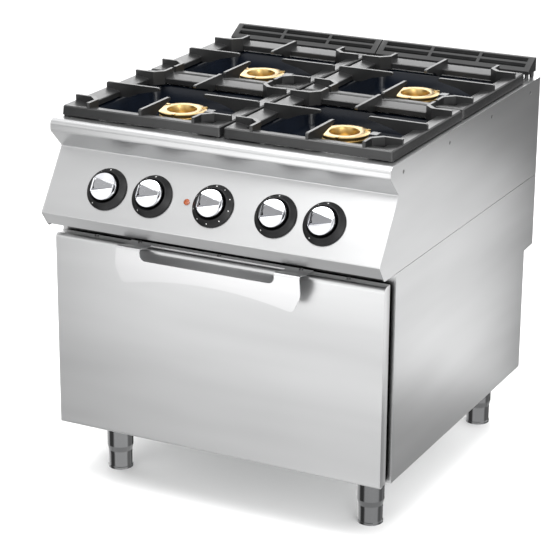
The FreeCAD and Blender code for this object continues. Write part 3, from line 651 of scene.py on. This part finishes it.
def dial():
    """A black dial ring about its own middle, standing on the panel at height 0."""
    profile = [(7, 0), (46.2, 0), (47.4, 0.6), (47.5, 2), (46.6, 3.6), CONE_FOOT, CONE_TOP, (37.2, 13.8),
               (35.6, 14), (34.4, 13), (32.2, 11), (32, 3.4), (7, 3.2)]
    return lathe("dial", profile, "dial_black", 96)


def dial_marks(turns, long_marks=()):
    """Raised white marks on the dial's cone, at angles clockwise from the top."""
    marks = []
    (foot_radius, foot_height), (top_radius, top_height) = CONE_FOOT, CONE_TOP
    slope = math.atan2(top_height - foot_height, foot_radius - top_radius)
    middle = Vector((0, (foot_radius + top_radius) / 2, (foot_height + top_height) / 2)) * MM
    for turn in turns:
        size = 1.5 if turn in long_marks else 1.0
        outline = [(x, 1.35 * y) for x, y in circle(size, 12)]
        mark = prism("mark", outline, -0.5, 0.25, "z", "mark_white")
        place = (Matrix.Rotation(math.radians(-turn), 4, "Z") @ Matrix.Translation(middle)
                 @ Matrix.Rotation(-slope, 4, "X"))
        mark.data.transform(place)
        marks.append(mark)
    return marks


def place_dials():
    gas_turns = (0, -30, -150)
    oven_turns = (0, 30, 65, 100, 140, 180, 215, 250, 290, 330)
    for number in (0, *GAS_KNOBS):
        turns = gas_turns if number else oven_turns
        node = f"gas_knob_{number}" if number else "oven_knob"
        piece = join(f"dial_{node}", [dial(), *dial_marks(turns, (0,))])
        piece.data.transform(panel_frame(node))
        shade(piece.data, 35)
        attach(piece, "casing")
    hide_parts("dial_bezels")


# ---------------------------------------------------------------- door skin

def door_skin():
    """The door's outer skin, with a wider bend along its top edge."""
    node, wide, past = "door_outer_panel", 11, 5
    low, high = box_mm(node)
    skin = copy_of(NODES[node], "door_skin", 0, 0)
    middle = (low.y + wide, high.z - wide)
    corner = [(low.y - past, middle[1]), middle, (middle[0], high.z + past), (low.y - past, high.z + past)]
    boolean(skin, [prism("corner", corner, low.x - past, high.x + past, "x", "front_steel")], "DIFFERENCE")
    shade(skin.data, 30)
    arc = [(middle[0] - wide * math.cos(math.radians(a)), middle[1] + wide * math.sin(math.radians(a)))
           for a in range(0, 91, 5)]
    bend = prism("bend", [middle, *arc], low.x, high.x, "x", "front_steel")
    piece = join("door_skin", [skin, bend])
    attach(piece, "door")
    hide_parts(node)


# ---------------------------------------------------------------- rear grilles

def flue_grille(word):
    """A cast grille: a hollow wedge on four posts, with two rows of three slots."""
    node = f"flue_grille_{word}"
    low, high = box_mm(node)
    deck = low.z
    bottom, front_top = deck + 13, deck + 21
    slot_rows, slot_half_long, slot_half_wide, slot_spread = (17, 34), 57, 5.6, 0.63
    wedge = [(low.y, bottom), (high.y, bottom), (high.y, high.z), (high.y - 8, high.z), (low.y, front_top)]
    body = prism(f"cast_grille_{word}", wedge, low.x, high.x, "x", "cast_iron")
    hollow = prism("hollow", [(low.y + 3, bottom - 1), (high.y - 3, bottom - 1), (high.y - 3, high.z - 5),
                              (low.y + 3, front_top - 3)], low.x + 3, high.x - 3, "x", "cast_iron")
    tools = [hollow]
    middle, half = (low.x + high.x) / 2, (high.x - low.x) / 2
    for row in slot_rows:
        front, back = low.y + row - slot_half_wide, low.y + row + slot_half_wide
        for column in (-1, 0, 1):
            at = middle + column * half * slot_spread
            left, right = at - slot_half_long, at + slot_half_long
            outline = [(left, front), (right, front), (right, back), (left, back)]
            tools.append(prism("slot", outline, bottom + 1, high.z + 5, "z", "cast_iron"))
    boolean(body, tools, "DIFFERENCE")
    posts = []
    for end in (-1, 1):
        for y in (low.y + 8, high.y - 8):
            post = lathe("post", [(0.2, deck), (5, deck), (5, deck + 18), (0.2, deck + 18)], "cast_iron", 20)
            post.data.transform(Matrix.Translation(Vector((middle + end * (half - 7), y, 0)) * MM))
            posts.append(post)
    boolean(body, posts, "UNION")
    bevel(body, 0.9, 2, 35)
    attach(body, f"flue_{word}")
    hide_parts(node)


# ---------------------------------------------------------------- stage

# Each lamp's name, width, watts, place, the point that it faces, and its height if it isn't square.
LAMPS = (
    ("top_soft", 2.4, 66, (0.3, -0.8, 2.8), (0.1, -0.3, 0.5), 1.8),
    ("right_soft", 1.2, 26, (2.2, -2.2, 1.6), (0.3, -0.6, 0.1), 1.8),
    ("left_soft", 1.4, 6, (-3.0, 0.5, 1.6), (0, 0, 0.5)),
    ("back_soft", 2.2, 15, (-1.3, 2.6, 1.9), (0, 0, 0.9), 1.0),
    ("side_card", 0.6, 1.55, (0.9, 0.6, 0.25), (0.4, -0.45, 0.55)),
    ("front_card", 1.0, 3.2, (-0.62, -1.9, 0.25), (-0.1, -0.45, 0.45), 0.7),
)


def area_light(name, size, energy, place, target, size_y=None):
    data = bpy.data.lights.new(name, "AREA")
    data.size = size
    if size_y:
        data.shape = "RECTANGLE"
        data.size_y = size_y
    data.energy = energy
    lamp = bpy.data.objects.new(name, data)
    lamp.visible_camera = False
    bpy.context.scene.collection.objects.link(lamp)
    lamp.location = place
    lamp.rotation_euler = (Vector(target) - Vector(place)).to_track_quat("-Z", "Y").to_euler()
    return lamp


def stage():
    floor_half = 12.0
    bm = bmesh.new()
    corners = [bm.verts.new((sx * floor_half, sy * floor_half, 0)) for sx, sy in
               ((-1, -1), (1, -1), (1, 1), (-1, 1))]
    bm.faces.new(corners)
    mesh = bpy.data.meshes.new("floor")
    bm.to_mesh(mesh)
    bm.free()
    floor = bpy.data.objects.new("floor", mesh)
    bpy.context.scene.collection.objects.link(floor)
    material, _, shader = new_material("pale_floor")
    shader.inputs["Base Color"].default_value = (0.96, 0.96, 0.96, 1)
    shader.inputs["Roughness"].default_value = 0.9
    mesh.materials.append(material)
    floor.visible_glossy = False

    studio_world()
    for lamp in LAMPS:
        area_light(*lamp)


# Grey levels of the surroundings by height, from 0 straight down to 1 straight up.
SKY = ((0.0, (0.35,)), (1.0, (0.85,)), (0.27, (0.55,)), (0.36, (0.98,)), (0.48, (0.62,)),
       (0.63, (1.0,)), (0.72, (1.0,)), (0.80, (0.62,)), (0.92, (0.70,)))
# Darker patches: the direction of each one's middle, the cosine at its edge, and its grey level.
WALLS = (((0.20, -0.64, 0.74), 0.89, 0.42), ((-0.85, -0.35, 0.40), 0.87, 0.10),
         ((0.25, 0.93, -0.08), 0.83, 0.05), ((0.86, 0.49, -0.15), 0.85, 0.35),
         ((-0.80, -0.58, -0.15), 0.84, 0.12))
WALL_FADE = 0.08


def studio_world():
    """A studio: bands of brightness by height, with darker patches in five directions."""
    world = bpy.data.worlds.new("studio")
    bpy.context.scene.world = world
    world.use_nodes = True
    tree = world.node_tree
    direction = add(tree, "ShaderNodeTexCoord").outputs["Generated"]
    split = add(tree, "ShaderNodeSeparateXYZ")
    tree.links.new(direction, split.inputs["Vector"])
    level = add(tree, "ShaderNodeMapRange")
    level.inputs["From Min"].default_value = -1.0
    tree.links.new(split.outputs["Z"], level.inputs["Value"])
    colour = ramp(tree, level.outputs["Result"], *SKY)
    for towards, edge, shade_level in WALLS:
        facing = add(tree, "ShaderNodeVectorMath", operation="DOT_PRODUCT")
        facing.inputs[1].default_value = towards
        tree.links.new(direction, facing.inputs[0])
        wall = ramp(tree, facing.outputs["Value"], (edge, (1.0,)), (edge + WALL_FADE, (shade_level,)))
        both = add(tree, "ShaderNodeMix", data_type="RGBA", blend_type="MULTIPLY")
        both.inputs["Factor"].default_value = 1.0
        sockets = {item.name: item for item in both.inputs if item.type == "RGBA"}
        tree.links.new(colour, sockets["A"])
        tree.links.new(wall, sockets["B"])
        colour = [item for item in both.outputs if item.type == "RGBA"][0]
    background = tree.nodes["Background"]
    tree.links.new(colour, background.inputs["Color"])
    background.inputs["Strength"].default_value = 2.0


def camera():
    """The viewing angle: azimuth and elevation of the line from the target back to the camera."""
    azimuth, elevation, distance, roll = math.radians(26.8), math.radians(19.2), 4.861, math.radians(0.37)
    target = Vector((-0.061, 0, 0.420))
    back = Vector((math.sin(azimuth) * math.cos(elevation), -math.cos(azimuth) * math.cos(elevation),
                   math.sin(elevation)))
    data = bpy.data.cameras.new("camera")
    data.lens = 138.0
    data.sensor_width = 36.0
    made = bpy.data.objects.new("camera", data)
    bpy.context.scene.collection.objects.link(made)
    made.location = target + back * distance
    made.rotation_euler = ((-back).to_track_quat("-Z", "Y").to_matrix()
                           @ Matrix.Rotation(roll, 3, "Z")).to_euler()
    bpy.context.scene.camera = made
    bpy.context.scene.view_settings.view_transform = "Standard"


place_supports()
place_burners()
drip_basins()
place_knobs()
place_dials()
door_skin()
for word in ("left", "right"):
    flue_grille(word)
stage()
camera()
